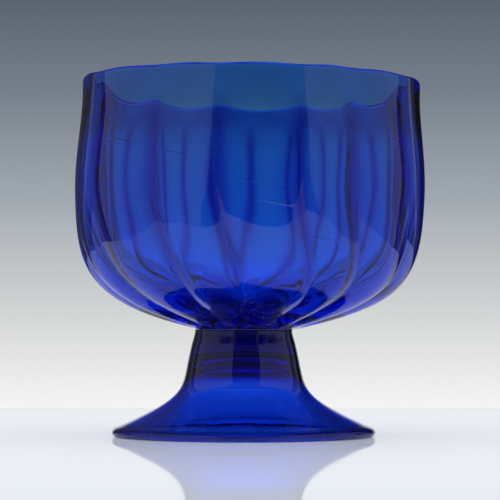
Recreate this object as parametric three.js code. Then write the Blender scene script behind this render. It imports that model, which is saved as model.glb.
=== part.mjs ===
// A footed sugar bowl in cobalt-blue glass, blown and tooled by hand.
// Two gathers of glass meet at the neck: a bowl whose ribs come from a dip mould, and a hollow
// trumpet foot with its edge folded under. Millimetres, +Z up, the table at z = 0.

import * as THREE from 'three';

// Heights
const footHeight = 33;
const bowlHeight = 77;
const bellyHeight = 43.8; // widest place, above the neck

// Outer radii
const neckRadius = 15.2;
const bellyRadius = 54.2;
const mouthRadius = 52.2;
const footRadius = 40.7;

// Underside of the bowl: how far it runs out flat from the neck, how fast it climbs there, and
// how far below the belly the shoulder begins to turn
const undersideRun = 33.5;
const undersideSlope = 0.23;
const shoulderDrop = 28.5;
const mouthEase = 12; // how gradually the wall draws in towards the mouth

// Walls of the bowl: thinnest in its upper half, thicker towards the rim and towards the base
const rimThickness = 3.8;
const thinWall = 2.3;
const thinHeight = 58;
const baseWall = 4.6;
const baseEase = 5; // height over which the base thins into the wall
const floorDish = 0.3;

// Ribs: rounded lobes with a sharp furrow between each two low on the outside, where the glass
// stands inwards as a ridge behind each furrow all the way up
const ribCount = 15;
const ribDepth = 1.5;
const ribRunOut = 9; // length over which the furrows fade out at the neck
const ribDepthAtMouth = 0.15;
const furrowFadeStart = 8.8; // heights between which the furrows soften into the smooth upper wall
const furrowFadeEnd = 32.9;
const ridgeHeight = 2.4;
const ridgeSharpness = 0.25; // share of a ridge that is a crest and not a soft swell
const ridgeSinkStart = 34.5; // height from which the ridges sink towards the rim
const ridgeSink = 0.88; // share of a ridge that is gone at the rim
const ribPhase = -10.6; // degrees from the front to the nearest furrow
const ribTwist = 9; // degrees that the furrows turn between the belly and the neck
const rimWave = 0.3; // how far the fire-polished rim dips over each furrow
const facetsPerRib = 6;

// The bowl sits a little off the foot's axis and leans, as it cooled
const seatOffset = 1.4;
const leanAngle = 0.75; // degrees
const leanHeight = 12; // height over which the lean begins

// Walls of the foot and its hollow
const skirtWall = 1.6;
const stemGain = 0.8; // how much thicker the wall is in the stem than in the skirt
const hollowTop = 24.8; // height of the hollow's crown above the table
const crownDrop = 4.5; // how far below its top the hollow begins to close
const pontilRadius = 3.6;
const pontilHeight = 0.3;

// Rounded shoulder at the top of the stem, and the pinch above it where the bowl is joined on
const shoulderRadius = 16.05;
const shoulderDepth = 4.4;
const pinchRadius = 14.6;

// Sweep of the trumpet between the shoulder and the fold
const stemSweep = 14;
const stemFlare = 0.26;
const skirtSweep = 20.8;
const skirtSlope = 0.46;

// Folded edge: the upper bead is the bend, the lower bead is the layer turned under, and a narrow
// gap that opens into the hollow stays between the skirt and that layer
const foldWidth = 4.3;
const upperBeadRadius = 0.95;
const lowerBeadRadius = 0.72;
const beadSetBack = 0.45; // how far the lower bead stays inside the upper one
const beadOverlap = 0.84; // the beads are pressed together, so they stand closer than two full rounds
const foldCrown = 0.95; // drop of the flat top of the fold from the skirt to the upper bead
const layerReach = 3.4; // how far inwards of the lower bead the layer turned under has its end
const layerRadius = 0.55; // half of that layer's thickness, and the rounding of its end
const gapRadius = 0.3; // rounding at the bottom of the gap
const bendWall = 1.25; // how far the bottom of the gap stays inside the middle of the upper bead
const footFacets = 60;

const neckHeight = footHeight;
const lean = Math.tan(THREE.MathUtils.degToRad(leanAngle));
const glassColor = 0x1c3fb4;

// Square to the profile at each point, pointing to the right of its direction of travel
function profileNormals(points) {
  return points.map((point, i) => {
    const before = points[Math.max(i - 1, 0)];
    const after = points[Math.min(i + 1, points.length - 1)];
    const along = after.clone().sub(before).normalize();
    return new THREE.Vector2(along.y, -along.x);
  });
}

// The inner face of a wall: the outer face moved square to itself by the wall there, from top to bottom
function innerFace(outer, wallAt) {
  const normals = profileNormals(outer);
  return outer
    .map((point, i) => point.clone().addScaledVector(normals[i], -wallAt(point)))
    .reverse();
}

function smoothStep(value, from, to) {
  return THREE.MathUtils.smoothstep(value, from, to);
}

// Profile of the bowl without its ribs: radius in x, height above the neck in y
function bowlProfile() {
  const neck = new THREE.Vector2(neckRadius, 0);
  const belly = new THREE.Vector2(bellyRadius, bellyHeight);
  const lipRadius = rimThickness / 2;
  const mouth = new THREE.Vector2(mouthRadius, bowlHeight - lipRadius);
  const underside = new THREE.CubicBezierCurve(
    neck,
    new THREE.Vector2(neckRadius + undersideRun, undersideRun * undersideSlope),
    new THREE.Vector2(bellyRadius, bellyHeight - shoulderDrop),
    belly,
  );
  const side = new THREE.CubicBezierCurve(
    belly,
    new THREE.Vector2(bellyRadius, bellyHeight + mouthEase),
    new THREE.Vector2(mouthRadius, mouth.y - mouthEase),
    mouth,
  );
  const outer = [...underside.getPoints(12), ...side.getPoints(7).slice(1)];
  const wallAt = (point) => thinWall
    + (baseWall - thinWall) * Math.exp(-point.y / baseEase)
    + (rimThickness - thinWall) * smoothStep(point.y, thinHeight, mouth.y);
  const inner = innerFace(outer, wallAt);
  const lip = new THREE.Path();
  lip.absarc(mouthRadius - lipRadius, mouth.y, lipRadius, 0, Math.PI, false);
  const floorEdge = inner[inner.length - 1];
  const floorLevel = floorEdge.y - floorDish;
  const floor = new THREE.QuadraticBezierCurve(
    floorEdge,
    new THREE.Vector2(floorEdge.x / 2, floorLevel),
    new THREE.Vector2(0, floorLevel),
  );
  const lipPoints = lip.getPoints(2).slice(1, -1);
  const points = [
    new THREE.Vector2(0, 0),
    ...outer,
    ...lipPoints,
    ...inner,
    ...floor.getPoints(2).slice(1),
  ];
  return { points, outerCount: outer.length + 1, innerStart: 1 + outer.length + lipPoints.length };
}

// Depth of the furrows at a point of the outer face
function furrowDepth(point) {
  const fade = smoothStep(point.y, furrowFadeStart, furrowFadeEnd);
  const fullDepth = THREE.MathUtils.lerp(ribDepth, ribDepthAtMouth, fade);
  return fullDepth * smoothStep(point.x, neckRadius, neckRadius + ribRunOut);
}

// Height of the ridges at a point of the inner face
function ridgeAt(point) {
  const sunk = THREE.MathUtils.clamp((point.y - ridgeSinkStart) / (bowlHeight - ridgeSinkStart), 0, 1);
  const fullHeight = ridgeHeight * (1 - ridgeSink * sunk ** 1.3);
  return fullHeight * smoothStep(point.x, bellyRadius * 0.5, bellyRadius * 0.92);
}

// Height of a lobe across its width: a sharp furrow low on the bowl, a soft wave at the mouth
function lobeHeight(across, softness) {
  const arch = Math.sin(Math.PI * across);
  return THREE.MathUtils.lerp(arch, arch * arch, softness);
}

// Cross-section of a ridge across the width of a rib: a soft swell with a narrower crest on it
function ridgeShape(across) {
  const swell = 1 - lobeHeight(across, 0.6);
  const crest = (1 - Math.sin(Math.PI * across)) ** 2;
  return THREE.MathUtils.lerp(swell, crest, ridgeSharpness);
}

function makeBowl() {
  const { points, outerCount, innerStart } = bowlProfile();
  const normals = profileNormals(points);
  const segments = ribCount * facetsPerRib;
  const geometry = new THREE.LatheGeometry(points, segments);
  const position = geometry.getAttribute('position');
  const startAngle = THREE.MathUtils.degToRad(ribPhase);
  const twist = THREE.MathUtils.degToRad(ribTwist);
  for (let i = 0; i <= segments; i += 1) {
    const across = (i % facetsPerRib) / facetsPerRib;
    for (let j = 0; j < points.length; j += 1) {
      const point = points[j];
      const softness = smoothStep(point.y, bellyHeight, bowlHeight);
      const dip = 1 - lobeHeight(across, j < outerCount ? softness : 1);
      const depth = j < innerStart ? dip * furrowDepth(point) : -ridgeShape(across) * ridgeAt(point);
      const radius = point.x - normals[j].x * depth;
      const wave = rimWave * dip * smoothStep(point.y, bowlHeight * 0.9, bowlHeight);
      const height = point.y - normals[j].y * depth - wave;
      const turn = twist * (1 - smoothStep(point.y, 0, bellyHeight));
      const angle = startAngle + turn + (i / segments) * 2 * Math.PI;
      const x = radius * Math.sin(angle);
      const tilt = lean * smoothStep(height, 0, leanHeight);
      position.setXYZ(
        i * points.length + j,
        x + tilt * height,
        height - tilt * x,
        radius * Math.cos(angle),
      );
    }
  }
  geometry.rotateX(Math.PI / 2);
  geometry.computeVertexNormals();
  return geometry;
}

// Profile of the trumpet foot: down the hollow to the folded edge, then up the outside to the neck
function footProfile() {
  const lowerBead = new THREE.Vector2(footRadius - beadSetBack - lowerBeadRadius, lowerBeadRadius);
  const beadSpacing = (lowerBeadRadius + upperBeadRadius) * beadOverlap;
  const upperBead = new THREE.Vector2(footRadius - upperBeadRadius, lowerBead.y + beadSpacing);
  const skirtEnd = new THREE.Vector2(footRadius - foldWidth, upperBead.y + upperBeadRadius + foldCrown);
  const shoulder = new THREE.Vector2(shoulderRadius, footHeight - shoulderDepth);
  const trumpet = new THREE.CubicBezierCurve(
    skirtEnd,
    new THREE.Vector2(skirtEnd.x - skirtSweep, skirtEnd.y + skirtSweep * skirtSlope),
    new THREE.Vector2(shoulder.x + stemSweep * stemFlare, shoulder.y - stemSweep),
    shoulder,
  );
  const pinch = new THREE.QuadraticBezierCurve(
    shoulder,
    new THREE.Vector2(shoulder.x - shoulderDepth * stemFlare / 2, shoulder.y + shoulderDepth / 2),
    new THREE.Vector2(pinchRadius, footHeight),
  );
  const outer = trumpet.getPoints(13);
  const wallAt = (point) => skirtWall + stemGain * smoothStep(point.y, hollowTop / 2, hollowTop);
  const hollow = innerFace(outer, wallAt).filter((point) => point.y < hollowTop - crownDrop);
  const spring = hollow[0];
  const rise = spring.clone().sub(hollow[1]).setLength(crownDrop / 2);
  const crown = new THREE.CubicBezierCurve(
    new THREE.Vector2(0, hollowTop),
    new THREE.Vector2(spring.x * 0.72, hollowTop),
    spring.clone().add(rise),
    spring,
  );
  const crownPoints = crown
    .getPoints(5)
    .slice(0, -1)
    .filter((point) => point.x > pontilRadius + pontilHeight);
  const pontilLevel = hollowTop - pontilHeight;
  const pontil = [
    new THREE.Vector2(0, pontilLevel),
    new THREE.Vector2(pontilRadius - pontilHeight, pontilLevel),
    new THREE.Vector2(pontilRadius, pontilLevel + pontilHeight / 2),
  ];
  const gapEnd = new THREE.Vector2(upperBead.x - bendWall, layerRadius * 2 + gapRadius);
  const turnedUnder = new THREE.Path();
  turnedUnder.absarc(gapEnd.x, gapEnd.y, gapRadius, Math.PI / 2, -Math.PI / 2, true);
  const layerEnd = new THREE.Path();
  layerEnd.absarc(lowerBead.x - layerReach, layerRadius, layerRadius, Math.PI / 2, Math.PI * 1.5, false);
  const beads = new THREE.Path();
  beads.absarc(lowerBead.x, lowerBead.y, lowerBeadRadius, -Math.PI / 2, Math.PI / 4, false);
  beads.absarc(upperBead.x, upperBead.y, upperBeadRadius, -Math.PI / 4, Math.PI / 2, false);
  return [
    ...pontil,
    ...crownPoints,
    ...hollow,
    ...turnedUnder.getPoints(1),
    ...layerEnd.getPoints(2),
    ...beads.getPoints(3),
    ...outer,
    ...pinch.getPoints(3).slice(1),
    new THREE.Vector2(0, footHeight),
  ];
}

function makeFoot() {
  const geometry = new THREE.LatheGeometry(footProfile(), footFacets);
  geometry.rotateX(Math.PI / 2);
  return geometry;
}

function makePiece(name, geometry) {
  const material = new THREE.MeshStandardMaterial({ color: glassColor, roughness: 0.05, metalness: 0 });
  const mesh = new THREE.Mesh(geometry, material);
  mesh.name = name;
  return mesh;
}

const bowl = makePiece('bowl', makeBowl());
bowl.position.set(seatOffset, 0, neckHeight);
const foot = makePiece('foot', makeFoot());

// The origin is on the table below the middle of the belly
const sugarBowl = new THREE.Group();
sugarBowl.add(foot, bowl);
sugarBowl.position.x = -(seatOffset + lean * bellyHeight);

export default sugarBowl;
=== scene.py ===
"""A hand-blown footed sugar bowl in cobalt-blue glass, dressed around its CAD frame.

The bowl and the foot are two closed glass bodies. Each is a profile swept round a set of spokes by
one Geometry Nodes tree, which also presses the ribs, turns and leans the form and unsettles it a
little, as hot work does. Everything is in metres, +Z up, with the viewer of the photograph at -Y.
"""

import math

import bpy
import numpy as np
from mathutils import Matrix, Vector
from mathutils.geometry import interpolate_bezier


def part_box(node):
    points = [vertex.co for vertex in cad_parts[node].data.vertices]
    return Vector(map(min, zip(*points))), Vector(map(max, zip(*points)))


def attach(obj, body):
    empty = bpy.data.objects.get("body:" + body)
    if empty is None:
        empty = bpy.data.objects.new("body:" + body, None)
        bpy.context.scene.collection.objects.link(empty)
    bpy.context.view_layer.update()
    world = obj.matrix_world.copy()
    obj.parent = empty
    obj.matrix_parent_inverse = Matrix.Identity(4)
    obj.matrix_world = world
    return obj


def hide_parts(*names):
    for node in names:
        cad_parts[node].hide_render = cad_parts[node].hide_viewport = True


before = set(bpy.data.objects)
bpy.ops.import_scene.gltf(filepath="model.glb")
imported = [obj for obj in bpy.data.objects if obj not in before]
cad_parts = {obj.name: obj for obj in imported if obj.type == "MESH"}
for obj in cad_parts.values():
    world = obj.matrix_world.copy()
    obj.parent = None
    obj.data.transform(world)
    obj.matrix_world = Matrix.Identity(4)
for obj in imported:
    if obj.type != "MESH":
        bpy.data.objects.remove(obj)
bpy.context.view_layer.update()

bl_info = {
    "name": "Footed sugar bowl",
    "version": (1, 0, 0),
    "blender": (4, 5, 0),
    "location": "3D View > Sidebar > Sugar bowl",
    "description": "Builds a ribbed glass sugar bowl on a hollow folded foot, with its studio",
    "category": "Object",
}

MM = 0.001
BOWL_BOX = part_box("bowl")
FOOT_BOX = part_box("foot")
NECK_LEVEL = FOOT_BOX[1][2]
FOOT_RADIUS = (FOOT_BOX[1][0] - FOOT_BOX[0][0]) / 2
FOOT_AXIS_X = (FOOT_BOX[1][0] + FOOT_BOX[0][0]) / 2

# The bowl was set on a little to the right of the foot's middle. The gap keeps the two flat discs
# of the joint apart, which the glass then treats as fused.
BOWL_AXIS_X = FOOT_AXIS_X + 1.4 * MM
JOINT_GAP = 0.02 * MM
DISC_INSET = 0.1 * MM
DISC_POINTS = 5

SHORTEST_STEP = 0.02 * MM
MERGE_DISTANCE = 0.001 * MM
WHITE = (1.0, 1.0, 1.0, 1.0)
BLACK = (0.0, 0.0, 0.0, 1.0)


class Value:
    """A node's output that takes part in Python sums. Each sum adds a Math node."""

    def __init__(self, graph, socket):
        self.graph = graph
        self.socket = socket

    def other(self, name):
        """Another output of the same node."""
        return Value(self.graph, self.socket.node.outputs[name])

    def __add__(self, term):
        return self.graph.math("ADD", self, term)

    def __radd__(self, term):
        return self.graph.math("ADD", term, self)

    def __sub__(self, term):
        return self.graph.math("SUBTRACT", self, term)

    def __rsub__(self, term):
        return self.graph.math("SUBTRACT", term, self)

    def __mul__(self, term):
        return self.graph.math("MULTIPLY", self, term)

    def __rmul__(self, term):
        return self.graph.math("MULTIPLY", term, self)

    def __truediv__(self, term):
        return self.graph.math("DIVIDE", self, term)

    def __rtruediv__(self, term):
        return self.graph.math("DIVIDE", term, self)

    def __mod__(self, term):
        return self.graph.math("MODULO", self, term)

    def __pow__(self, term):
        return self.graph.math("POWER", self, term)


class Graph:
    """Adds nodes to a shader or geometry tree."""

    def __init__(self, tree):
        self.tree = tree

    def add(self, kind, settings=None, inputs=None, output=0):
        """One node: its settings are made first, and then its sockets are filled or linked."""
        node = self.tree.nodes.new(kind)
        for name, value in (settings or {}).items():
            if name == "stops":
                self.fill_ramp(node.color_ramp, value)
            else:
                setattr(node, name, value)
        for name, value in (inputs or {}).items():
            if isinstance(value, Value):
                self.tree.links.new(value.socket, node.inputs[name])
            else:
                node.inputs[name].default_value = value
        return Value(self, node.outputs[output]) if len(node.outputs) else node

    @staticmethod
    def fill_ramp(ramp, stops):
        """Sets a colour ramp to (position, colour) stops, in rising order."""
        while len(ramp.elements) < len(stops):
            ramp.elements.new(1.0)
        for element, (position, color) in zip(ramp.elements, stops):
            element.position = position
            element.color = (*color, 1.0)

    def math(self, operation, *terms):
        """A sum on numbers."""
        settings = {"operation": operation}
        return self.add("ShaderNodeMath", settings, dict(enumerate(terms)))

    def vector(self, operation, *terms):
        """A sum on vectors."""
        settings = {"operation": operation}
        return self.add("ShaderNodeVectorMath", settings, dict(enumerate(terms)))

    def combine(self, x, y, z):
        """A vector from its three parts."""
        return self.add("ShaderNodeCombineXYZ", None, {"X": x, "Y": y, "Z": z})

    def part(self, vector, axis):
        """One part of a vector."""
        return self.add("ShaderNodeSeparateXYZ", None, {"Vector": vector}).other(axis)

    def ramp01(self, value, start, end):
        """Rises smoothly from 0 at start to 1 at end."""
        settings = {"interpolation_type": "SMOOTHSTEP"}
        inputs = {"Value": value, "From Min": start, "From Max": end}
        return self.add("ShaderNodeMapRange", settings, inputs)

    def mix(self, factor, first, second):
        """Blends two numbers."""
        settings = {"data_type": "FLOAT"}
        return self.add("ShaderNodeMix", settings, {0: factor, 2: first, 3: second})

    def mix_color(self, factor, first, second):
        """Blends two colours."""
        settings = {"data_type": "RGBA"}
        inputs = {0: factor, 6: first, 7: second}
        return self.add("ShaderNodeMix", settings, inputs, output=2)

    def blend(self, factor, first, second):
        """Mixes two shaders."""
        return self.add("ShaderNodeMixShader", None, {0: factor, 1: first, 2: second})

    def noise(self, point, scale, detail, seed):
        """Smooth noise from 0 to 1 at a scale given in waves for each metre."""
        settings = {"noise_dimensions": "4D"}
        inputs = {"Vector": point, "Scale": scale, "Detail": detail, "W": seed}
        return self.add("ShaderNodeTexNoise", settings, inputs)


def smooth_step(value, start, end):
    """The smooth rise from 0 to 1, in numbers."""
    share = np.clip((np.asarray(value, float) - start) / (end - start), 0.0, 1.0)
    return share * share * (3.0 - 2.0 * share)


def bezier(p0, p1, p2, p3, count):
    """Points of a cubic curve from p0 to p3, both included."""
    knots = [Vector((*p, 0.0)) for p in (p0, p1, p2, p3)]
    return np.array([p[:2] for p in interpolate_bezier(*knots, count)])


def arc(centre, radii, start, end, count):
    """Points of an elliptical arc between two angles in degrees, both included."""
    angles = np.radians(np.linspace(start, end, count))
    return np.column_stack(
        [centre[0] + radii[0] * np.cos(angles), centre[1] + radii[1] * np.sin(angles)]
    )


def square_to(points):
    """Unit vectors square to a profile, to the right of its direction of travel."""
    along = np.gradient(points, axis=0)
    along /= np.linalg.norm(along, axis=1)[:, None]
    return np.column_stack([along[:, 1], -along[:, 0]])


def chain(*runs):
    """Joins runs of profile points and drops points that repeat the last one."""
    points = np.vstack(runs)
    steps = np.linalg.norm(np.diff(points, axis=0), axis=1)
    return points[np.concatenate([[True], steps > SHORTEST_STEP])]


def blown_wall_tree():
    """The Geometry Nodes tree that sweeps a profile round its spokes and works the glass.

    The mesh that it reads holds the profile's points first and then the spokes. A profile point
    has its radius in X and its height in Z. Its attributes say how the ribs, the turn, the lean
    and the unevenness touch it, where the glass is fused or worn, and where it is painted
    darker, as tint and as painted shade.
    """
    tree = bpy.data.node_groups.new("Blown wall", "GeometryNodeTree")
    tree.is_modifier = True
    sockets = [
        ("Profile and spokes", "NodeSocketGeometry", None),
        ("Profile points", "NodeSocketInt", 2),
        ("Spokes", "NodeSocketInt", 3),
        ("Twist", "NodeSocketFloat", 0.0),
        ("Rim wave", "NodeSocketFloat", 0.0),
        ("Lean", "NodeSocketFloat", 0.0),
        ("Waviness", "NodeSocketFloat", 0.0),
        ("Wave size", "NodeSocketFloat", 30.0 * MM),
        ("Seed", "NodeSocketFloat", 0.0),
        ("Glass", "NodeSocketMaterial", None),
    ]
    for name, kind, default in sockets:
        socket = tree.interface.new_socket(name=name, in_out="INPUT", socket_type=kind)
        if default is not None:
            socket.default_value = default
    tree.interface.new_socket(name="Body", in_out="OUTPUT", socket_type="NodeSocketGeometry")

    g = Graph(tree)
    given = g.add("NodeGroupInput")
    source = given.other("Profile and spokes")
    rows = given.other("Profile points")
    grid = g.add(
        "GeometryNodeMeshGrid",
        None,
        {"Vertices X": given.other("Spokes"), "Vertices Y": rows},
    )
    index = g.add("GeometryNodeInputIndex")
    row = index % rows
    column = g.math("FLOOR", (index + 0.5) / rows) + rows

    def read(name, place, kind="FLOAT"):
        """An attribute of the profile or of a spoke, brought to each point of the grid."""
        value = g.add("GeometryNodeInputNamedAttribute", {"data_type": kind}, {"Name": name})
        inputs = {"Geometry": source, "Value": value, "Index": place}
        return g.add("GeometryNodeSampleIndex", {"data_type": kind}, inputs)

    outline = read("outline", row, "FLOAT_VECTOR")
    square = read("square", row, "FLOAT_VECTOR")
    softness = read("softness", row)
    across = read("across", column)
    arch = g.math("SINE", across * math.pi)
    lobe = g.mix(softness, arch, arch * arch)
    dip = 1.0 - lobe
    crease = (1.0 - arch * arch) ** 6.0
    depth = dip * read("furrow", row) + crease * read("crease", row)
    radius = g.part(outline, "X") - g.part(square, "X") * depth
    rim = read("rim", row)
    height = g.part(outline, "Z") - g.part(square, "Z") * depth
    height = height - given.other("Rim wave") * dip * rim
    angle = read("angle", column) + given.other("Twist") * read("turn", row)
    side_x = radius * g.math("SINE", angle)
    side_y = radius * g.math("COSINE", angle) * -1.0
    tilt = given.other("Lean") * read("leaning", row)
    formed = g.combine(side_x + tilt * height, side_y, height - tilt * side_x)

    waves = 1.0 / given.other("Wave size")
    unsettled = g.noise(formed, waves, 1.0, given.other("Seed")).other("Color")
    centred = g.vector("SUBTRACT", unsettled, (0.5, 0.5, 0.5))
    give = given.other("Waviness") * read("give", row)
    moved = g.add(
        "ShaderNodeVectorMath", {"operation": "SCALE"}, {"Vector": centred, "Scale": give}
    )
    place = g.vector("ADD", formed, moved)

    body = g.add("GeometryNodeSetPosition", None, {"Geometry": grid, "Position": place})
    # The first mark is where the glass is painted darker: tint in the tooling rings and the ribs'
    # thicker glass, and painted shade along the ribs and at the top of the stem.
    marks = {
        "dense": read("ring", row) + crease * read("rib", row),
        "fused": read("fused", row),
        "worn": read("worn", row),
    }
    for name, value in marks.items():
        body = g.add(
            "GeometryNodeStoreNamedAttribute",
            {"data_type": "FLOAT", "domain": "POINT"},
            {"Geometry": body, "Name": name, "Value": value},
        )
    welded = g.add(
        "GeometryNodeMergeByDistance", None, {"Geometry": body, "Distance": MERGE_DISTANCE}
    )
    smooth = g.add("GeometryNodeSetShadeSmooth", None, {"Geometry": welded})
    real = g.add("GeometryNodeRealizeInstances", None, {"Geometry": smooth})
    glazed = g.add(
        "GeometryNodeSetMaterial", None, {"Geometry": real, "Material": given.other("Glass")}
    )
    g.add("NodeGroupOutput", None, {"Body": glazed})
    return tree


def sweep(name, rows, spokes, inputs):
    """Runs the blown wall tree on a profile and its spokes, and returns a plain mesh object."""
    count = len(rows["outline"])
    total = count + len(spokes["angle"])
    mesh = bpy.data.meshes.new(name)
    mesh.vertices.add(total)
    for key, values in {**rows, **spokes}.items():
        values = np.asarray(values, np.float32)
        kind = "FLOAT_VECTOR" if values.ndim == 2 else "FLOAT"
        attribute = mesh.attributes.new(key, kind, "POINT")
        shape = (total, 3) if values.ndim == 2 else (total,)
        filled = np.zeros(shape, np.float32)
        start = 0 if key in rows else count
        filled[start : start + len(values)] = values
        attribute.data.foreach_set("vector" if values.ndim == 2 else "value", filled.ravel())
    piece = bpy.data.objects.new(name, mesh)
    bpy.context.scene.collection.objects.link(piece)

    tree = bpy.data.node_groups.get("Blown wall") or blown_wall_tree()
    modifier = piece.modifiers.new("Blown wall", "NODES")
    modifier.node_group = tree
    settings = {"Profile points": count, "Spokes": len(spokes["angle"]), **inputs}
    for item in tree.interface.items_tree:
        if item.in_out == "INPUT" and item.name in settings:
            modifier[item.identifier] = settings[item.name]
    bpy.context.view_layer.update()
    evaluated = piece.evaluated_get(bpy.context.evaluated_depsgraph_get())
    piece.data = bpy.data.meshes.new_from_object(evaluated)
    piece.data.name = name
    piece.modifiers.clear()
    return piece


class SugarBowlShape(bpy.types.PropertyGroup):
    """Sizes of the bowl, the foot and the ribs."""

    belly_height: bpy.props.FloatProperty(
        name="Belly height",
        description="Height of the widest place above the neck",
        default=43.8 * MM,
        unit="LENGTH",
    )
    neck_radius: bpy.props.FloatProperty(
        name="Neck radius",
        description="Outer radius where the bowl meets the foot",
        default=15.2 * MM,
        unit="LENGTH",
    )
    belly_radius: bpy.props.FloatProperty(
        name="Belly radius",
        description="Outer radius at the widest place",
        default=54.2 * MM,
        unit="LENGTH",
    )
    mouth_radius: bpy.props.FloatProperty(
        name="Mouth radius",
        description="Outer radius just below the rim",
        default=52.2 * MM,
        unit="LENGTH",
    )
    rim_thickness: bpy.props.FloatProperty(
        name="Rim thickness",
        description="Thickness of the fire-polished rim",
        default=3.2 * MM,
        unit="LENGTH",
    )
    thin_wall: bpy.props.FloatProperty(
        name="Thinnest wall",
        description="Thickness in the middle of a lobe where the wall is thinnest",
        default=2.1 * MM,
        unit="LENGTH",
    )
    thin_height: bpy.props.FloatProperty(
        name="Height of the thinnest wall",
        description="Height above the neck where the wall is thinnest, and thickens to the rim",
        default=58.0 * MM,
        unit="LENGTH",
    )
    base_wall: bpy.props.FloatProperty(
        name="Base wall",
        description="Thickness of the wall at the bottom of the bowl",
        default=5.6 * MM,
        unit="LENGTH",
    )
    base_ease: bpy.props.FloatProperty(
        name="Base ease",
        description="Height over which the thick base thins into the wall",
        default=5.0 * MM,
        unit="LENGTH",
    )
    wall_taper: bpy.props.FloatProperty(
        name="Wall taper",
        description="How much thinner the wall becomes from the neck up to its thinnest place",
        default=1.3 * MM,
        unit="LENGTH",
    )
    rim_rounding: bpy.props.FloatProperty(
        name="Rim rounding",
        description="Radius of the inner edge of the rim. The outer edge is rounder",
        default=0.35 * MM,
        unit="LENGTH",
    )
    rib_count: bpy.props.IntProperty(
        name="Ribs", description="Lobes round the bowl", default=15, min=3
    )
    rib_depth: bpy.props.FloatProperty(
        name="Rib depth",
        description="Depth of the furrows low on the bowl",
        default=1.5 * MM,
        unit="LENGTH",
    )
    mouth_depth: bpy.props.FloatProperty(
        name="Rib depth at the mouth",
        description="Depth that is left of the furrows at the rim",
        default=0.15 * MM,
        unit="LENGTH",
    )
    ridge_height: bpy.props.FloatProperty(
        name="Ridge height inside",
        description="How far the glass stands inwards behind each furrow",
        default=1.5 * MM,
        unit="LENGTH",
    )
    rib_phase: bpy.props.FloatProperty(
        name="First furrow",
        description="Angle from the front to the nearest furrow",
        default=math.radians(-10.6),
        unit="ROTATION",
    )
    rib_twist: bpy.props.FloatProperty(
        name="Twist",
        description="How far the furrows turn from the belly to the neck",
        default=math.radians(9.0),
        unit="ROTATION",
    )
    rim_wave: bpy.props.FloatProperty(
        name="Rim wave",
        description="How far the rim dips over each furrow",
        default=0.3 * MM,
        unit="LENGTH",
    )
    lean: bpy.props.FloatProperty(
        name="Lean",
        description="How far the bowl leans to the right of the photograph",
        default=math.radians(0.75),
        unit="ROTATION",
    )
    waviness: bpy.props.FloatProperty(
        name="Waviness",
        description="Unevenness that hand work leaves in the glass",
        default=0.32 * MM,
        unit="LENGTH",
    )
    stem_gain: bpy.props.FloatProperty(
        name="Stem gain",
        description="How much thicker the wall is in the stem than in the skirt",
        default=1.05 * MM,
        unit="LENGTH",
    )
    crown_drop: bpy.props.FloatProperty(
        name="Crown drop",
        description="How far below its top the hollow begins to close",
        default=6.5 * MM,
        unit="LENGTH",
    )
    skirt_wall: bpy.props.FloatProperty(
        name="Skirt wall",
        description="Thickness of the foot where it is thinnest",
        default=1.5 * MM,
        unit="LENGTH",
    )
    hollow_top: bpy.props.FloatProperty(
        name="Top of the hollow",
        description="Height of the foot's hollow above the table",
        default=24.8 * MM,
        unit="LENGTH",
    )


class SugarBowlLooks(bpy.types.PropertyGroup):
    """Colours and light."""

    passed_color: bpy.props.FloatVectorProperty(
        name="Passed colour",
        description="Colour that a wall of glass lets through",
        subtype="COLOR",
        size=3,
        default=(0.0, 0.6, 0.995),
        min=0.0,
        max=1.0,
    )
    strength: bpy.props.FloatProperty(
        name="Strength of the colour",
        description="How fast the glass takes up light, for each metre",
        default=900.0,
    )
    foot_passed_color: bpy.props.FloatVectorProperty(
        name="Passed colour of the foot",
        description="Colour that the darker glass of the foot lets through",
        subtype="COLOR",
        size=3,
        default=(0.0, 0.49, 0.985),
        min=0.0,
        max=1.0,
    )
    foot_strength: bpy.props.FloatProperty(
        name="Strength of the foot's colour",
        description="How fast the darker glass of the foot takes up light, for each metre",
        default=1500.0,
    )
    # Painted along the inner ridges: partly the colour of their thicker glass, partly painted
    # shade.
    rib_tint_and_shade: bpy.props.FloatVectorProperty(
        name="Rib colour",
        description="What the thick glass of a rib lets through, against the plain wall",
        subtype="COLOR",
        size=3,
        default=(0.05, 0.07, 0.46),
        min=0.0,
        max=1.0,
    )
    # Painted in the foot's tooling rings as their tint, and on the top of the stem as painted
    # shade under the bowl.
    ring_tint_and_stem_shade: bpy.props.FloatVectorProperty(
        name="Ring colour",
        description="What the thick stem and the rings of the foot let through",
        subtype="COLOR",
        size=3,
        default=(0.02, 0.04, 0.16),
        min=0.0,
        max=1.0,
    )
    refraction: bpy.props.FloatProperty(
        name="Refractive index", description="How strongly the glass bends light", default=1.52
    )
    floor_color: bpy.props.FloatVectorProperty(
        name="Table colour",
        description="Colour of the pale table top",
        subtype="COLOR",
        size=3,
        default=(0.81, 0.86, 0.95),
        min=0.0,
        max=1.0,
    )
    soft_box_radiance: bpy.props.FloatProperty(
        name="Soft box level", description="Brightness of the two soft boxes", default=0.33
    )
    table_glow: bpy.props.FloatProperty(
        name="Table glow",
        description="Light that the table top gives off itself, as a share of its colour",
        default=0.15,
    )
    dome_level: bpy.props.FloatProperty(
        name="Dome level", description="Brightness of the dome that lights the table", default=1.0
    )


def shape():
    """The sizes that the scene holds."""
    return bpy.context.scene.sugar_bowl_shape


def looks():
    """The colours and levels of light that the scene holds."""
    return bpy.context.scene.sugar_bowl_looks


# Cords in the front of the bowl, each from (x, z) to (x, z) in mm, as they were blown. They are
# ridges of glass, as wide as CORD_WIDTH to each side.
CORDS = (
    ((-40.0, 89.5), (-33.0, 87.6)),
    ((-26.0, 86.2), (-23.5, 86.0)),
    ((-24.0, 85.0), (-15.5, 82.1)),
    ((-2.6, 76.4), (11.7, 72.9)),
    ((1.7, 70.6), (12.6, 68.6)),
    ((17.5, 60.0), (24.6, 58.6)),
)
CORD_WIDTH = 0.8 * MM


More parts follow.
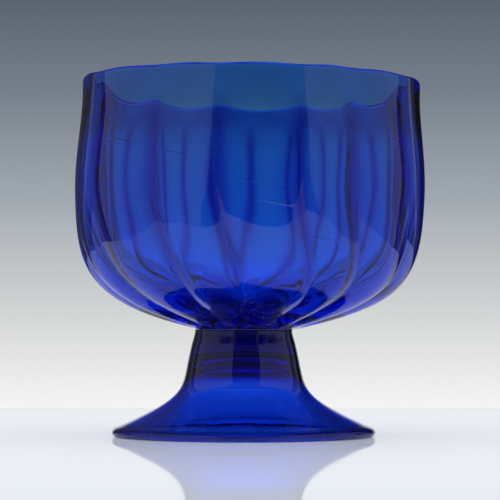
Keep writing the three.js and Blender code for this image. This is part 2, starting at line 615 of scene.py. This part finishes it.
def cord_relief(g, point):
    """Height of the cords, from 0 to 1: thin, nearly level ridges on the front of the bowl."""
    x, z = g.part(point, "X"), g.part(point, "Z")
    total = 0.0
    for start, end in CORDS:
        (x0, z0), (x1, z1) = ((a * MM, b * MM) for a, b in (start, end))
        off = g.math("ABSOLUTE", z - (x - x0) * ((z1 - z0) / (x1 - x0)) - z0)
        within = g.ramp01(x, x0 - MM, x0 + MM) * (1.0 - g.ramp01(x, x1 - MM, x1 + MM))
        total = (1.0 - g.ramp01(off, 0.0, CORD_WIDTH)) * within + total
    return total * (1.0 - g.ramp01(g.part(point, "Y"), -20.0 * MM, -10.0 * MM))


def glass_material(name, passed_color, strength, tint_and_shade_color):
    """Clear cobalt-blue glass: the colour is in its depth, and the surface has faint cords.

    The wall marks where the glass is painted darker: as tint in the tooling rings and in the
    ribs' thicker glass, and as painted shade along the ribs and at the top of the stem. It marks
    the joint at the neck as fused, which leaves no surface there, and the folded layer and the
    resting ring as worn.
    """
    material = bpy.data.materials.new(name)
    material.use_nodes = True
    tree = material.node_tree
    tree.nodes.clear()
    g = Graph(tree)
    point = g.add("ShaderNodeTexCoord", None, None, "Object")
    drawn = g.add("ShaderNodeMapping", None, {"Vector": point, "Scale": (1.0, 1.0, 0.25)})
    fine = g.noise(drawn, 160.0, 3.0, 4.0)
    swirl = g.noise(point, 45.0, 2.0, 9.0)
    cords = cord_relief(g, point)
    relief = g.add(
        "ShaderNodeBump",
        None,
        {"Strength": 1.0, "Distance": 0.02 * MM, "Height": fine + swirl * 2.0 + cords * 3.2},
    )
    haze = g.ramp01(g.noise(point, 400.0, 4.0, 2.0), 0.45, 0.8)
    dense, fused, worn = (
        g.add("ShaderNodeAttribute", {"attribute_name": mark}).other("Fac")
        for mark in ("dense", "fused", "worn")
    )
    # Base Color is painted darker where marked: partly tint, partly painted shade.
    surface = g.add(
        "ShaderNodeBsdfPrincipled",
        None,
        {
            "Base Color": g.mix_color(dense, WHITE, (*tint_and_shade_color, 1.0)),
            "Roughness": haze * 0.02 + worn * 0.3,
            "Alpha": 1.0 - g.ramp01(fused, 0.4, 0.6),
            "IOR": looks().refraction,
            "Transmission Weight": 1.0,
            "Normal": relief,
        },
    )
    depth = g.add(
        "ShaderNodeVolumeAbsorption",
        None,
        {"Color": (*passed_color, 1.0), "Density": strength},
    )
    g.add("ShaderNodeOutputMaterial", None, {"Surface": surface, "Volume": depth})
    return material


# Places of the furrows against even spacing, in degrees, as they were blown. The first is the
# furrow nearest the front, and they run to the right round the bowl.
FURROW_DRIFT = (0.0, 3.2, -2.2, 0.6, 1.4, -1.0, 0.8, -1.6, 1.2, 0.4, -1.2, 1.0, -0.6, -3.1, 1.6)
SPOKES_PER_RIB = 28
FOOT_SPOKES = 288
CROWDING = 0.6  # how much closer the spokes stand at the furrows


def rib_spokes():
    """Spokes round the bowl: each has its angle and its place across its rib."""
    count = shape().rib_count
    pitch = 2.0 * math.pi / count
    drift = np.radians([FURROW_DRIFT[i % len(FURROW_DRIFT)] for i in range(count + 1)])
    drift[-1] = drift[0]
    furrows = shape().rib_phase + pitch * np.arange(count + 1) + drift
    steps = np.arange(count * SPOKES_PER_RIB + 1)
    rib, step = np.divmod(steps, SPOKES_PER_RIB)
    even = step / SPOKES_PER_RIB
    across = even - CROWDING * np.sin(2.0 * math.pi * even) / (2.0 * math.pi)
    angle = np.interp(rib + across, np.arange(count + 1), furrows)
    return {"angle": angle, "across": across}


# Handles of the bowl's outer curve: out of the neck, up into the belly, and from there to the
# mouth.
NECK_RUN = 33.5 * MM
NECK_SLOPE = 0.23
BELLY_DROP = 28.5 * MM
SIDE_EASE = 12.0 * MM
FLOOR_DIP = 0.3 * MM
CREASE_SHARE = 0.4  # how much of a ridge's height is in its narrow middle


def bowl_rows():
    """Profile of the bowl from the middle of its underside, over the rim, to the middle inside."""
    s = shape()
    rim_height = frame_rim_height()
    neck = (s.neck_radius, 0.0)
    belly = (s.belly_radius, s.belly_height)
    mouth = (s.mouth_radius, rim_height - s.rim_thickness / 2.0)
    leaving = (neck[0] + NECK_RUN, NECK_RUN * NECK_SLOPE)
    underside = bezier(neck, leaving, (belly[0], belly[1] - BELLY_DROP), belly, 46)
    side = bezier(
        belly, (belly[0], belly[1] + SIDE_EASE), (mouth[0], mouth[1] - SIDE_EASE), mouth, 22
    )
    outer = chain(underside, side)
    close = smooth_step(outer[:, 1], s.thin_height, mouth[1])
    below = np.clip(1.0 - outer[:, 1] / s.thin_height, 0.0, 1.0)
    gather = s.base_wall - s.thin_wall - s.wall_taper
    wall = s.thin_wall + s.wall_taper * below + gather * np.exp(-outer[:, 1] / s.base_ease)
    wall = wall + (s.rim_thickness - s.thin_wall) * close
    inner = (outer - square_to(outer) * wall[:, None])[::-1]
    edge, soft = s.rim_rounding, 2.4 * s.rim_rounding
    inside_edge = mouth[0] - s.rim_thickness + edge
    rim = chain(
        arc((mouth[0] - soft, rim_height - soft), (soft, soft), 0.0, 90.0, 11),
        arc((inside_edge, rim_height - edge), (edge, edge), 90.0, 180.0, 9),
    )
    start = inner[-1]
    bottom = start[1] - FLOOR_DIP
    floor = bezier(
        start,
        (start[0] * 2 / 3, start[1] - FLOOR_DIP * 2 / 3),
        (start[0] / 3, bottom),
        (0.0, bottom),
        12,
    )
    disc_radii = np.linspace(0.0, neck[0] - DISC_INSET, DISC_POINTS)
    disc = np.column_stack([disc_radii, np.zeros(DISC_POINTS)])
    outline = chain(disc, outer, rim, inner, floor)
    place = np.arange(len(outline))
    outside = place < len(disc) + len(outer)
    radius, height = outline[:, 0], outline[:, 1]

    # The furrows run out at the neck and nearly so at the mouth. The ridges behind them sink
    # towards the rim, which stays plain.
    plain = 1.0 - smooth_step(height, rim_height - 9.0 * MM, rim_height - 1.5 * MM)
    fade = smooth_step(height, 0.35 * s.belly_height, 1.05 * s.belly_height)
    furrow = s.rib_depth + (s.mouth_depth - s.rib_depth) * fade
    furrow = furrow * smooth_step(radius, neck[0], neck[0] + 9.0 * MM)
    sink = np.clip((height / rim_height - 0.45) / 0.55, 0.0, 1.0) ** 1.3
    ridge = -s.ridge_height * (1.0 - 0.88 * sink)
    ridge = ridge * smooth_step(radius, 0.5 * s.belly_radius, 0.92 * s.belly_radius)
    # Along the inner ridges the glass is painted darker: partly the colour of their thicker glass,
    # partly painted shade where they bend the view towards the dark room. It fades out towards the
    # rim and the neck.
    shown = 1.0 - smooth_step(height, rim_height - 18.0 * MM, rim_height - 6.0 * MM)
    shown = shown * smooth_step(radius, 12.0 * MM, 24.0 * MM)
    zeros = np.zeros(len(outline))
    return {
        "outline": np.column_stack([radius, zeros, height]),
        "square": np.insert(square_to(outline), 1, 0.0, axis=1),
        "furrow": np.where(outside, furrow, (1.0 - CREASE_SHARE) * ridge) * plain,
        "crease": np.where(outside, 0.0, CREASE_SHARE * ridge) * plain,
        "softness": np.where(outside, smooth_step(height, s.belly_height, rim_height), 1.0),
        "turn": 1.0 - smooth_step(height, 0.0, s.belly_height),
        "rim": smooth_step(height, 0.9 * rim_height, rim_height),
        "leaning": smooth_step(height, 0.0, 12.0 * MM),
        "give": smooth_step(height, 0.0, 6.0 * MM),
        "rib": np.where(outside, 0.0, shown),
        "ring": zeros,
        "fused": (place < len(disc)).astype(float),
        "worn": zeros,
    }


def frame_rim_height():
    """Height of the frame's rim above the neck, without what the lean lifts on one side."""
    lifted = math.tan(shape().lean) * shape().mouth_radius
    return BOWL_BOX[1][2] - NECK_LEVEL - lifted


# The foot's outer curve: where the skirt springs from the folded edge and where the stem ends
# below the neck, and the handles between them.
SKIRT_INSET = 4.3 * MM
SKIRT_HEIGHT = 4.0228 * MM
SKIRT_RUN = 20.8 * MM
SKIRT_SLOPE = 0.46
STEM_RADIUS = 16.05 * MM
STEM_END = 4.4 * MM
STEM_RUN = 14.0 * MM
STEM_SLOPE = 0.26

# The edge is turned under: a roll outside, and a layer below that an open gap keeps apart.
ROLL_WIDTH = 1.7 * MM
ROLL_LEVEL = 1.35 * MM
FOLD_GAP = 0.3 * MM
FOLD_LAYER = 0.55 * MM
BEND_INSET = 2.85 * MM
LAYER_INSET = 3.77 * MM

SCAR_RADIUS = 3.6 * MM
SCAR_DEPTH = 0.3 * MM


def hollow_profile(trumpet):
    """The foot's hollow from the middle of its crown, with the pontil scar, down to the fold."""
    s = shape()
    wall = s.skirt_wall + s.stem_gain * smooth_step(trumpet[:, 1], 14.0 * MM, 24.0 * MM)
    inside = (trumpet - square_to(trumpet) * wall[:, None])[::-1]
    side = inside[inside[:, 1] < s.hollow_top - s.crown_drop]
    spring, rise = side[0], side[0] - side[2]
    leaving = spring + rise / np.linalg.norm(rise) * 0.62 * s.crown_drop
    arriving = (0.78 * spring[0], s.hollow_top)
    crown = bezier((0.0, s.hollow_top), arriving, leaving, spring, 28)[:-1]
    crown = crown[crown[:, 0] > SCAR_RADIUS]
    level = crown[0][1] - SCAR_DEPTH
    step = ((0.0, 0.0), (0.5, 0.0), (0.86, 0.0), (0.95, 0.12 * MM))
    scar = np.array([(share * SCAR_RADIUS, level + lift) for share, lift in step])
    return np.vstack([scar, chain(crown, side)])


def foot_rows():
    """Profile of the foot: down its hollow, round the folded edge and up to the neck."""
    s = shape()
    top = NECK_LEVEL
    skirt = (FOOT_RADIUS - SKIRT_INSET, SKIRT_HEIGHT)
    stem = (STEM_RADIUS, top - STEM_END)
    trumpet = bezier(
        skirt,
        (skirt[0] - SKIRT_RUN, skirt[1] + SKIRT_RUN * SKIRT_SLOPE),
        (stem[0] + STEM_RUN * STEM_SLOPE, stem[1] - STEM_RUN),
        stem,
        44,
    )
    pinch = bezier(
        stem,
        (stem[0] - 0.4 * MM, stem[1] + 1.3 * MM),
        (s.neck_radius - 0.2 * MM, top - 1.2 * MM),
        (s.neck_radius - 0.1 * MM, top),
        9,
    )
    hollow = hollow_profile(trumpet)
    bend = (FOOT_RADIUS - BEND_INSET, 2.0 * FOLD_LAYER + FOLD_GAP)
    layer_end = (FOOT_RADIUS - LAYER_INSET, FOLD_LAYER)
    turned = chain(
        arc(bend, (FOLD_GAP, FOLD_GAP), 90.0, -90.0, 8),
        arc(layer_end, (FOLD_LAYER, FOLD_LAYER), 90.0, 270.0, 12),
    )
    roll = chain(
        arc((FOOT_RADIUS - ROLL_WIDTH, ROLL_LEVEL), (ROLL_WIDTH, ROLL_LEVEL), -90.0, 0.0, 12),
        bezier(
            (FOOT_RADIUS, ROLL_LEVEL),
            (FOOT_RADIUS, ROLL_LEVEL + 1.4 * MM),
            (FOOT_RADIUS - ROLL_WIDTH, skirt[1] - 1.2 * MM),
            skirt,
            14,
        ),
    )
    disc_radii = np.linspace(pinch[-1][0] - DISC_INSET, 0.0, DISC_POINTS)
    disc = np.column_stack([disc_radii, np.full(DISC_POINTS, top)])
    outline = chain(hollow, turned, roll, trumpet, pinch, disc)
    place = np.arange(len(outline)) - len(hollow)
    folded = (place >= 0) & (place < len(turned) + 3)
    radius, height = outline[:, 0], outline[:, 1]

    # Tooling leaves faint rings inside, tinted a little darker. The top of the stem, under the
    # bowl, is painted dark: painted shade.
    levels = np.linspace(6.0 * MM, s.hollow_top, 20)
    rings = 0.4 * np.interp(height, levels, np.random.default_rng(5).random(20) ** 2)
    # Painted shade: the outside of the stem is marked dark towards its top, under the bowl.
    thick = smooth_step(height, top - 12.0 * MM, top - 6.0 * MM)
    give = smooth_step(height, 0.0, 4.0 * MM)
    give = give * (1.0 - smooth_step(height, top - 6.0 * MM, top))
    zeros = np.zeros(len(outline))
    return {
        "outline": np.column_stack([radius, zeros, height]),
        "square": np.insert(square_to(outline), 1, 0.0, axis=1),
        **{key: zeros for key in ("furrow", "crease", "softness", "turn", "rim", "leaning")},
        "give": give,
        "rib": zeros,
        "ring": np.where(place < 0, rings, thick),
        "fused": (np.arange(len(outline)) >= len(outline) - len(disc)).astype(float),
        "worn": folded.astype(float),
    }


def place_on_axis(piece, x, z):
    """Moves the mesh, not its object, to its axis and height."""
    shift = np.array([x, 0.0, z], np.float32)
    count = len(piece.data.vertices)
    points = np.empty(count * 3, np.float32)
    piece.data.vertices.foreach_get("co", points)
    piece.data.vertices.foreach_set("co", (points.reshape(-1, 3) + shift).ravel())
    piece.data.update()


class SUGARBOWL_OT_bowl(bpy.types.Operator):
    """Blow the ribbed bowl"""

    bl_idname = "sugar_bowl.bowl"
    bl_label = "Bowl"

    def execute(self, context):
        look = looks()
        s = shape()
        inputs = {
            "Twist": s.rib_twist,
            "Rim wave": s.rim_wave,
            "Lean": math.tan(s.lean),
            "Waviness": s.waviness,
            "Wave size": 30.0 * MM,
            "Seed": 3.0,
            "Glass": glass_material(
                "cobalt_bowl_glass", look.passed_color, look.strength, look.rib_tint_and_shade
            ),
        }
        piece = sweep("blown_bowl", bowl_rows(), rib_spokes(), inputs)
        place_on_axis(piece, BOWL_AXIS_X, NECK_LEVEL + JOINT_GAP)
        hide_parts("bowl")
        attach(piece, "root")
        return {"FINISHED"}


class SUGARBOWL_OT_foot(bpy.types.Operator):
    """Blow the hollow foot and fold its edge"""

    bl_idname = "sugar_bowl.foot"
    bl_label = "Foot"

    def execute(self, context):
        look = looks()
        spokes = {
            "angle": np.linspace(0.0, 2.0 * math.pi, FOOT_SPOKES + 1),
            "across": np.full(FOOT_SPOKES + 1, 0.5),
        }
        inputs = {
            "Waviness": shape().waviness * 0.6,
            "Wave size": 25.0 * MM,
            "Seed": 11.0,
            "Glass": glass_material(
                "cobalt_foot_glass", look.foot_passed_color, look.foot_strength, look.ring_tint_and_stem_shade
            ),
        }
        piece = sweep("blown_foot", foot_rows(), spokes, inputs)
        place_on_axis(piece, FOOT_AXIS_X, 0.0)
        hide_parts("foot")
        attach(piece, "root")
        return {"FINISHED"}


# The backdrop's glow by height in metres: painted light, pale below, behind the table, dark above.
BACKDROP_GLOW_STOPS = (
    (-0.002, (0.92, 0.92, 0.91)),
    (0.045, (0.62, 0.63, 0.64)),
    (0.09, (0.35, 0.39, 0.43)),
    (0.135, (0.185, 0.215, 0.26)),
    (0.18, (0.092, 0.114, 0.146)),
    (0.255, (0.035, 0.043, 0.058)),
)
BACKDROP_PLACE = 0.27
BACKDROP_HALF = 0.50
BACKDROP_BOTTOM = -0.35
BACKDROP_TOP = 0.45
DARK_ROOM = (0.085, 0.08, 0.08)
PALE_ROOM = (0.8, 0.8, 0.82)
DOME_EDGE = (0.1, 0.1, 0.1)

# The room beside the pale part of the backdrop: level by angle in degrees, from the viewer's left
# round the back to the viewer's right. Two narrow strips of light stand beside the soft boxes.
ROOM_STOPS = (
    (-113.0, 0.085),
    (-66.0, 0.15),
    (-53.6, 0.14),
    (-53.0, 0.36),
    (-51.0, 0.36),
    (-50.4, 0.09),
    (-30.0, 0.05),
    (0.0, 0.05),
    (5.0, 0.012),
    (40.0, 0.015),
    (49.4, 0.11),
    (50.0, 0.4),
    (52.0, 0.4),
    (52.6, 0.13),
    (66.0, 0.15),
    (113.0, 0.085),
)

# Where the backdrop gives way to the room, in degrees to each side of the middle. The glass
# mirrors a sharp edge there. What it passes on fades in two steps, the first of which lies
# further out above the table than beside it.
SHARP_FADE = (25.0, 29.0)
SOFT_FADE = (2.0, 11.0)
DARK_FROM = 50.0
WIDER_ABOVE = (0.02, 0.05)
WIDER_BY = 17.0

# Above these heights what the glass mirrors is dark from nearer the middle, and the foot of the
# backdrop is a little darker in it.
NARROW_ABOVE = (0.04, 0.07)
NARROW_FADE = (8.0, 18.0)
LOW_SHADE = 0.18
LOW_SHADE_TOP = 0.035

TABLE_HALF = 0.276
TABLE_CORNER = 0.03
TABLE_DEPTH = 0.018
TABLE_MIDDLE_Y = -0.028

# Painted shade: the share of the table's colour that shows through the glass and how far its
# mirror image goes towards that share. Then the share of the table's surface that is matt.
TABLE_THROUGH = 0.42
TABLE_MIRRORED = 0.45
TABLE_MATT = 0.25


def table_mesh(name):
    """A square table top with rounded corners, its upper face at the ground plane."""
    outline = []
    for turn in range(4):
        middle = math.radians(45.0 + 90.0 * turn)
        reach = (TABLE_HALF - TABLE_CORNER) * math.sqrt(2.0)
        cx, cy = reach * math.cos(middle), reach * math.sin(middle)
        for step in range(9):
            a = middle + math.radians(-45.0 + 11.25 * step)
            x = cx + TABLE_CORNER * math.cos(a)
            outline.append((x, cy + TABLE_CORNER * math.sin(a) + TABLE_MIDDLE_Y))
    count = len(outline)
    points = [(x, y, z) for z in (0.0, -TABLE_DEPTH) for x, y in outline]
    sides = [(i + count, (i + 1) % count + count, (i + 1) % count, i) for i in range(count)]
    faces = [tuple(range(count)), tuple(reversed(range(count, 2 * count))), *sides]
    mesh = bpy.data.meshes.new(name)
    mesh.from_pydata(points, [], faces)
    return mesh


def backdrop_mesh(name):
    """A flat upright sheet behind the table, whose face looks at the viewer."""
    left, right, place = -BACKDROP_HALF, BACKDROP_HALF, BACKDROP_PLACE
    low, high = BACKDROP_BOTTOM, BACKDROP_TOP
    points = [(left, place, low), (right, place, low), (right, place, high), (left, place, high)]
    mesh = bpy.data.meshes.new(name)
    mesh.from_pydata(points, [], [(0, 1, 2, 3)])
    return mesh


def add_stage_piece(name, mesh, material):
    """Puts a mesh into the scene as part of the stage, not of the object."""
    piece = bpy.data.objects.new(name, mesh)
    bpy.context.scene.collection.objects.link(piece)
    mesh.materials.append(material)
    return piece


def table_material():
    """A pale, polished table top. Where the glass passes it on or mirrors it, it is painted
    darker: painted shade.
    """
    material = bpy.data.materials.new("pale_table")
    material.use_nodes = True
    tree = material.node_tree
    tree.nodes.clear()
    g = Graph(tree)
    point = g.add("ShaderNodeTexCoord", None, None, "Object")
    cloud = g.noise(point, 30.0, 3.0, 1.0)
    pale = (*looks().floor_color, 1.0)
    shaded_color = (*(TABLE_THROUGH * part for part in looks().floor_color), 1.0)
    # Painted shade: the table is painted darker where the glass passes it on or mirrors it.
    path = g.add("ShaderNodeLightPath")
    mirrored = path.other("Is Glossy Ray") * TABLE_MIRRORED
    painted_shade = g.math("MAXIMUM", path.other("Is Transmission Ray"), mirrored)
    color = g.mix_color(painted_shade, pale, shaded_color)
    surface = g.add(
        "ShaderNodeBsdfPrincipled",
        None,
        {
            "Base Color": color,
            "Roughness": 0.03 + cloud * 0.02,
            "IOR": 1.5,
            "Emission Color": color,
            "Emission Strength": looks().table_glow,
        },
    )
    matt = g.add("ShaderNodeBsdfDiffuse", None, {"Color": pale})
    g.add("ShaderNodeOutputMaterial", None, {"Surface": g.blend(TABLE_MATT, surface, matt)})
    return material


def backdrop_material():
    """The sheet glows pale low down and rises to a dark blue-grey: painted light. It shows from
    the front only.

    What the glass passes on from beside the middle is the dark room with its thin strips of
    light, and so is what the glass mirrors from there. Its upper part lets the dome's light by to
    whatever is matt.
    """
    material = bpy.data.materials.new("graded_backdrop")
    material.use_nodes = True
    tree = material.node_tree
    tree.nodes.clear()
    g = Graph(tree)
    point = g.add("ShaderNodeTexCoord", None, None, "Object")
    height = g.part(point, "Z")
    low, high = BACKDROP_GLOW_STOPS[0][0], BACKDROP_GLOW_STOPS[-1][0]
    stops = [((level - low) / (high - low), color) for level, color in BACKDROP_GLOW_STOPS]
    sheet = g.add(
        "ShaderNodeValToRGB", {"stops": stops}, {"Fac": (height - low) / (high - low)}
    )
    angle = g.math("ARCTAN2", g.part(point, "X"), g.part(point, "Y"))
    round_it = angle / (2.0 * math.pi) + 0.5
    levels = [(0.5 + place / 360.0, (level, level, level)) for place, level in ROOM_STOPS]
    room = g.add("ShaderNodeValToRGB", {"stops": levels}, {"Fac": round_it})

    path = g.add("ShaderNodeLightPath")
    mirrored = path.other("Is Glossy Ray") * (1.0 - path.other("Is Transmission Ray"))
    aside = g.math("ABSOLUTE", round_it - 0.5) * 360.0
    wider = g.ramp01(height, *WIDER_ABOVE) * WIDER_BY
    near = g.ramp01(aside - wider, *SOFT_FADE) * 0.5
    soft = near + g.ramp01(aside, SOFT_FADE[1], DARK_FROM) * 0.5
    narrow = g.ramp01(aside, *NARROW_FADE) * g.ramp01(height, *NARROW_ABOVE)
    sharp = g.math("MAXIMUM", g.ramp01(aside, *SHARP_FADE), narrow)
    fade = g.mix(mirrored, soft, sharp) * (1.0 - path.other("Is Camera Ray"))
    shade = mirrored * (1.0 - g.ramp01(height, 0.0, LOW_SHADE_TOP)) * LOW_SHADE
    color = g.mix_color(shade, g.mix_color(fade, sheet, room), BLACK)
    light = g.add("ShaderNodeEmission", None, {"Color": color, "Strength": 1.0})

    clear = g.add("ShaderNodeBsdfTransparent")
    matt = g.math("GREATER_THAN", path.other("Diffuse Depth"), 0.5)
    lets_by = matt * g.ramp01(height, 0.06, 0.1)
    behind = g.add("ShaderNodeNewGeometry", None, None, "Backfacing")
    through = g.math("MAXIMUM", behind, lets_by)
    g.add("ShaderNodeOutputMaterial", None, {"Surface": g.blend(through, light, clear)})
    return material


def studio_world():
    """The room beyond the backdrop: dark, but pale far below.

    A plain dome lights what is matt, also through the glass, but neither the camera nor the glass
    shows it.
    """
    world = bpy.data.worlds.new("studio")
    bpy.context.scene.world = world
    world.use_nodes = True
    tree = world.node_tree
    tree.nodes.clear()
    g = Graph(tree)
    direction = g.add("ShaderNodeTexCoord", None, None, "Generated")
    up = g.part(direction, "Z")
    seen = g.mix_color(g.ramp01(up, -0.6, -0.35), (*PALE_ROOM, 1.0), (*DARK_ROOM, 1.0))
    level = looks().dome_level
    dome = g.mix_color(g.ramp01(up, 0.1, 0.6), (*DOME_EDGE, 1.0), (level, level, level, 1.0))
    matt = g.math("GREATER_THAN", g.add("ShaderNodeLightPath", None, None, "Diffuse Depth"), 0.5)
    sky = g.add("ShaderNodeBackground", None, {"Color": g.mix_color(matt, seen, dome)})
    g.add("ShaderNodeOutputWorld", None, {"Surface": sky})


# The soft boxes stand on both sides of the viewer. Each spans two azimuths in degrees, reaches up
# to an elevation of SOFT_BOX_TOP degrees and goes on below the table by SOFT_BOX_FOOT metres.
SOFT_BOX_DISTANCE = 0.42
SOFT_BOX_SPANS = ((-113.0, -23.0), (34.0, 113.0))
SOFT_BOX_TOP = 50.0
SOFT_BOX_FOOT = 0.16


def area_lamp(name, width, height, radiance):
    """A flat lamp that the camera does not see and that glass does not show through itself."""
    lamp = bpy.data.lights.new(name, "AREA")
    lamp.shape = "RECTANGLE"
    lamp.size = width
    lamp.size_y = height
    lamp.energy = radiance * math.pi * width * height
    box = bpy.data.objects.new(name, lamp)
    bpy.context.scene.collection.objects.link(box)
    box.visible_camera = False
    box.visible_transmission = False
    return box


def soft_box(name, start, end):
    """A soft box beside the viewer, between two azimuths in degrees."""
    width = 2.0 * SOFT_BOX_DISTANCE * math.tan(math.radians((end - start) / 2.0))
    height = SOFT_BOX_DISTANCE * math.tan(math.radians(SOFT_BOX_TOP)) + SOFT_BOX_FOOT
    box = area_lamp(name, width, height, looks().soft_box_radiance)
    azimuth = math.radians((start + end) / 2.0)
    away = Vector((math.sin(azimuth), -math.cos(azimuth), 0.0))
    box.location = away * SOFT_BOX_DISTANCE + Vector((0.0, 0.0, height / 2.0 - SOFT_BOX_FOOT))
    box.rotation_mode = "QUATERNION"
    box.rotation_quaternion = away.to_track_quat("Z", "Y")
    return box


# The camera, fitted to the photograph, whose frame is 500 pixels each way.
FRAME_SIDE = 500.0
SENSOR_WIDTH = 36.0
FOCAL_PIXELS = 2235.0
HORIZON_ROW = 330.0
EYE_HEIGHT = 32.8 * MM
EYE_DISTANCE = 692.0 * MM


def add_camera():
    """A level-standing camera in front, turned up until the horizon is at its row."""
    data = bpy.data.cameras.new("camera")
    data.sensor_width = SENSOR_WIDTH
    data.lens = FOCAL_PIXELS / FRAME_SIDE * SENSOR_WIDTH
    camera = bpy.data.objects.new("camera", data)
    bpy.context.scene.collection.objects.link(camera)
    camera.location = (0.0, -EYE_DISTANCE, EYE_HEIGHT)
    rise = math.atan((HORIZON_ROW - FRAME_SIDE / 2.0) / FOCAL_PIXELS)
    camera.rotation_euler = (math.radians(90.0) + rise, 0.0, 0.0)
    bpy.context.scene.camera = camera


class SUGARBOWL_OT_stage(bpy.types.Operator):
    """Set the table, the backdrop, the light and the camera"""

    bl_idname = "sugar_bowl.stage"
    bl_label = "Stage"

    def execute(self, context):
        add_stage_piece("table_top", table_mesh("table_top"), table_material())
        add_stage_piece("backdrop", backdrop_mesh("backdrop"), backdrop_material())
        studio_world()
        for side, span in zip(("left", "right"), SOFT_BOX_SPANS):
            soft_box(f"soft_box_{side}", *span)
        add_camera()
        scene = context.scene
        scene.view_settings.view_transform = "Standard"
        scene.cycles.max_bounces = 24
        scene.cycles.transmission_bounces = 24
        scene.cycles.glossy_bounces = 12
        scene.cycles.transparent_max_bounces = 16
        return {"FINISHED"}


class SUGARBOWL_PT_panel(bpy.types.Panel):
    """Sizes, colours and the steps of the build"""

    bl_label = "Sugar bowl"
    bl_idname = "SUGARBOWL_PT_panel"
    bl_space_type = "VIEW_3D"
    bl_region_type = "UI"
    bl_category = "Sugar bowl"

    def draw(self, context):
        layout = self.layout
        for group in (shape(), looks()):
            column = layout.column(align=True)
            for name in group.__annotations__:
                column.prop(group, name)
        for step in STEPS:
            layout.operator(step.bl_idname)


STEPS = (SUGARBOWL_OT_bowl, SUGARBOWL_OT_foot, SUGARBOWL_OT_stage)
CLASSES = (SugarBowlShape, SugarBowlLooks, *STEPS, SUGARBOWL_PT_panel)


def register():
    for item in CLASSES:
        bpy.utils.register_class(item)
    bpy.types.Scene.sugar_bowl_shape = bpy.props.PointerProperty(type=SugarBowlShape)
    bpy.types.Scene.sugar_bowl_looks = bpy.props.PointerProperty(type=SugarBowlLooks)


def unregister():
    del bpy.types.Scene.sugar_bowl_looks
    del bpy.types.Scene.sugar_bowl_shape
    for item in reversed(CLASSES):
        bpy.utils.unregister_class(item)


def main():
    register()
    bpy.ops.sugar_bowl.bowl()
    bpy.ops.sugar_bowl.foot()
    bpy.ops.sugar_bowl.stage()


if __name__ == "__main__":
    main()
